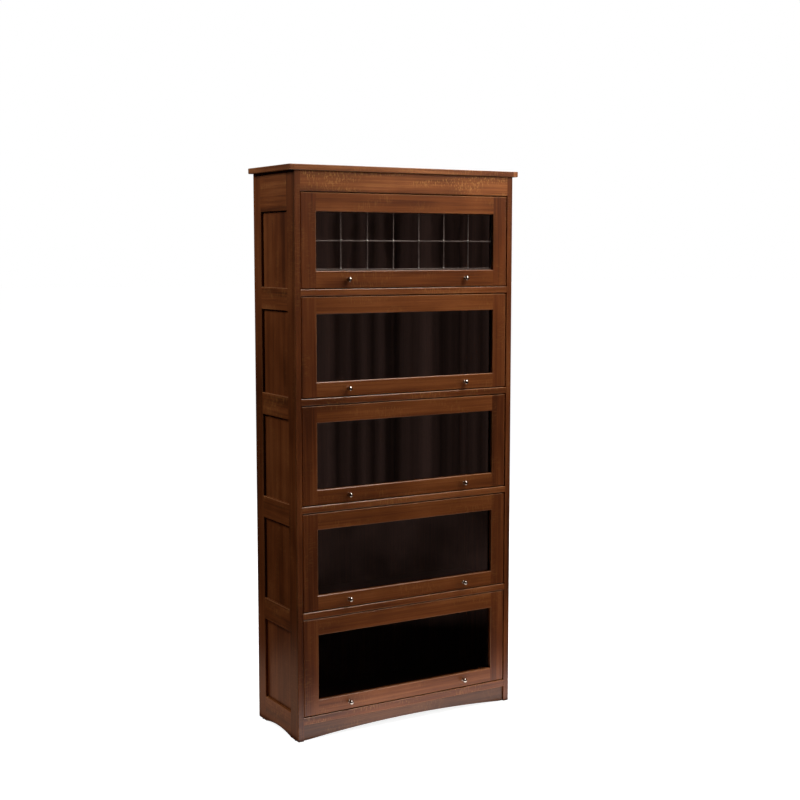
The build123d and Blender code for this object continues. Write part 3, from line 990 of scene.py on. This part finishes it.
@dataclass
class Studio:
    """The pale floor, the cards on it, the room, the lights and the camera.

    Sizes are in metres and angles in degrees.
    """

    camera_left: float = 2.4595
    camera_ahead: float = 4.0465
    camera_height: float = 1.66875
    camera_down: float = 6.17
    camera_turn: float = 30.94
    lens: float = 61.32
    floor_size: float = 120.0
    floor_colour: str = "#B0B0B0"
    floor_glow: float = 1.0
    contact_shade: float = 0.14
    contact_reach: float = 2.0
    front_card_depth: float = 0.28
    front_card_glow: float = 2.35
    front_card_tint: str = "#F8F4F5"
    side_card_width: float = 0.45
    side_card_beyond: float = 0.675
    side_card_glow: float = 0.5
    side_card_tint: str = "#FFCFB0"
    card_lift: float = 0.0005

    def sheet(
        self, name: str, low: tuple[float, float], high: tuple[float, float], height: float
    ) -> bpy.types.Object:
        """Lay a flat sheet, which is part of the studio.

        Args:
            name: Its name.
            low: Its left front corner.
            high: Its right back corner.
            height: Its level.

        Returns:
            The sheet's object.
        """
        middle = ((low[0] + high[0]) / 2, (low[1] + high[1]) / 2, height)
        bpy.ops.mesh.primitive_plane_add(size=1, location=middle)
        laid = start_piece(name)
        laid.scale = (high[0] - low[0], high[1] - low[1], 1)
        settle(laid)
        laid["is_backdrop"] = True
        return laid

    def floor(self) -> None:
        """Lay the pale floor, seen by the camera alone, with a painted contact shadow around the case."""
        made, tree = new_material("white_floor")
        place = add_node(tree, "ShaderNodeTexCoord", {}).outputs["Object"]
        spread = add_node(
            tree, "ShaderNodeMapping", {"Scale": [1 / self.contact_reach] * 3}, {"Vector": place}
        )
        near = add_node(
            tree,
            "ShaderNodeTexGradient",
            {"gradient_type": "QUADRATIC_SPHERE"},
            {"Vector": spread.outputs[0]},
        )
        # Its glow fades near the case: a painted contact shadow.
        glow = add_node(
            tree,
            "ShaderNodeMapRange",
            {"To Min": self.floor_glow, "To Max": self.floor_glow - self.contact_shade},
            {"Value": near.outputs[1]},
        )
        shader = add_node(
            tree,
            "ShaderNodeBsdfPrincipled",
            {
                "Base Color": linear(self.floor_colour),
                "Roughness": 0.9,
                "Specular IOR Level": 0.0,
                "Emission Color": linear("#FFFFFF"),
            },
            {"Emission Strength": glow.outputs[0]},
        )
        add_node(tree, "ShaderNodeOutputMaterial", {}, {"Surface": shader.outputs[0]})
        half = self.floor_size / 2
        wide = self.sheet("floor", (-half, -half), (half, half), 0.0)
        wide.data.materials.append(made)
        wide.visible_glossy = False
        wide.visible_diffuse = False
        wide.visible_transmission = False

    def card(self, laid: bpy.types.Object, tint: str, glow: float) -> None:
        """Make a sheet a card that glows, unseen by the camera and kept out of the glass.

        Args:
            laid: The sheet.
            tint: Its colour, as sRGB hex.
            glow: How strongly it glows.
        """
        paper, tree = new_material(laid.name)
        mirrored = add_node(tree, "ShaderNodeLightPath", {}).outputs["Is Singular Ray"]
        glowing = add_node(tree, "ShaderNodeMapRange", {"To Min": glow, "To Max": 0.0}, {"Value": mirrored})
        lit = add_node(
            tree, "ShaderNodeEmission", {"Color": linear(tint)}, {"Strength": glowing.outputs[0]}
        )
        add_node(tree, "ShaderNodeOutputMaterial", {}, {"Surface": lit.outputs[0]})
        laid.data.materials.append(paper)
        laid.visible_camera = False
        laid.visible_shadow = False

    def cards(self, low: Vector, high: Vector) -> None:
        """Lay two cards that bounce light up at the case.

        The bright one in front gives the lower front its pale sheen, and the dim one on the left does a
        little of that for the side.

        Args:
            low: The case's lowest corner.
            high: Its highest corner.
        """
        depth, width = self.front_card_depth, self.side_card_width
        front = self.sheet("front_card", (low.x, low.y - depth), (high.x + depth, low.y), self.card_lift)
        back = high.y + self.side_card_beyond
        side = self.sheet("side_card", (low.x - width, low.y), (low.x, back), self.card_lift)
        self.card(front, self.front_card_tint, self.front_card_glow)
        self.card(side, self.side_card_tint, self.side_card_glow)

    def camera(self, front: float) -> None:
        """Stand the camera ahead of the case and to its left.

        Args:
            front: The front plane of the case's stiles.
        """
        data = bpy.data.cameras.new("camera")
        data.lens = self.lens
        eye = bpy.data.objects.new("camera", data)
        eye.location = (-self.camera_left, front - self.camera_ahead, self.camera_height)
        eye.rotation_euler = (math.radians(90 - self.camera_down), 0, -math.radians(self.camera_turn))
        bpy.context.scene.collection.objects.link(eye)
        bpy.context.scene.camera = eye

    def build(self, low: Vector, high: Vector) -> None:
        """Set up the floor, cards, room, lights and camera.

        Args:
            low: The case's lowest corner.
            high: Its highest corner.
        """
        self.floor()
        self.cards(low, high)
        bpy.context.scene.world = Room().build()
        for light in LIGHTS:
            light.build()
        self.camera(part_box("left_front_stile")[0].y)
        bpy.context.scene.view_settings.view_transform = "Standard"
        LOG.info("studio: floor, cards, room, %d lights and camera", len(LIGHTS))


@dataclass
class Case:
    """The carcass: the top, the panelled sides, the shelves with their rails, the base and the back."""

    compartments: int = 5

    def dress(self, shop: Workshop) -> None:
        """Finish every board, with its grain along its length.

        Args:
            shop: The nodes and finishes.
        """
        self.dress_top(shop)
        self.dress_sides(shop)
        self.dress_shelves(shop)
        self.dress_back(shop)

    def dress_top(self, shop: Workshop) -> None:
        """Finish the top board, its end lippings and the fascia.

        Args:
            shop: The nodes and finishes.
        """
        shop.dress("top_board", shop.oak(TOP_OAK, Grain.ACROSS, 0))
        shop.dress("top_lippings", shop.oak(TOP_OAK, Grain.DEEP, 1))
        shop.dress("top_fascia", shop.oak(FASCIA_OAK, Grain.ACROSS, 1))

    def dress_sides(self, shop: Workshop) -> None:
        """Finish the side frames and their panels.

        Args:
            shop: The nodes and finishes.
        """
        for number, side in enumerate(("left", "right")):
            shop.dress(f"{side}_front_stile", shop.oak(SHADED_STILE_OAK, Grain.UPRIGHT, number))
            shop.dress(f"{side}_back_stile", shop.oak(SHADED_STILE_OAK, Grain.UPRIGHT, number + 1))
            shop.dress(f"{side}_side_panels", shop.oak(SHADED_STILE_OAK, Grain.UPRIGHT, number + 2))
            shop.dress(f"{side}_side_rails", shop.oak(CASE_OAK, Grain.DEEP, number))
            shop.dress(f"{side}_side_foot_rail", shop.oak(CASE_OAK, Grain.DEEP, number + 1))

    def dress_shelves(self, shop: Workshop) -> None:
        """Finish the shelves, their front rails and the base.

        Args:
            shop: The nodes and finishes.
        """
        for number in range(1, self.compartments):
            shop.dress(f"shelf_{number}", shop.oak(SHADED_INSIDE_OAK, Grain.ACROSS, number))
            shop.dress(f"shelf_rail_{number}", shop.oak(CASE_OAK, Grain.ACROSS, number + 1))
        shop.dress("bottom_board", shop.oak(SHADED_INSIDE_OAK, Grain.ACROSS, 0))
        shop.dress("bottom_rail", shop.oak(CASE_OAK, Grain.ACROSS, 0))
        shop.dress("apron", shop.oak(APRON_OAK, Grain.ACROSS, 2))
        shop.dress("foot_glides", shop.plain(NYLON))

    def dress_back(self, shop: Workshop) -> None:
        """Finish the back panel, its rails and screws, and the stop blocks.

        Args:
            shop: The nodes and finishes.
        """
        shop.dress("back_panel", shop.oak(BACK_PLYWOOD, Grain.UPRIGHT, 0))
        shop.dress("back_rails", shop.oak(SHADED_INSIDE_OAK, Grain.ACROSS, 1))
        shop.dress("stop_blocks", shop.oak(SHADED_INSIDE_OAK, Grain.ACROSS, 2))
        shop.dress("back_screws", shop.plain(PLATED_STEEL))


@dataclass
class Door:
    """One lifting door: its frame, glass, stops, knobs and runners."""

    number: int

    def build(self, shop: Workshop) -> None:
        """Finish the door's boards, glass and runners, and turn its knobs.

        Args:
            shop: The nodes and finishes.
        """
        door = f"door_{self.number}"
        shop.dress(f"{door}_stiles", shop.oak(SHADED_STILE_OAK, Grain.UPRIGHT, self.number))
        shop.dress(f"{door}_rails", shop.oak(RAIL_OAK, Grain.ACROSS, self.number))
        shop.dress(f"{door}_glass_stops", shop.oak(SHADED_INSIDE_OAK, Grain.ACROSS, self.number))
        shop.dress(f"{door}_glass", shop.plain(LEADED_GLASS if self.number == 1 else CLEAR_GLASS))
        shop.dress(f"{door}_runners", shop.plain(PLATED_STEEL))
        Knobs(door).build(shop)


def main() -> None:
    """Build the bookcase's looks and the studio around it."""
    logging.basicConfig(level=logging.INFO, format="%(name)s: %(message)s")
    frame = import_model()
    cad_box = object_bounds()
    bpy.ops.object.select_all(action="DESELECT")
    shop = Workshop(frame["nodes"])
    Studio().build(*cad_box)
    case = Case()
    case.dress(shop)
    for number in range(1, case.compartments + 1):
        Door(number).build(shop)
    LeadedGrid().build(shop)


if __name__ == "__main__":
    main()
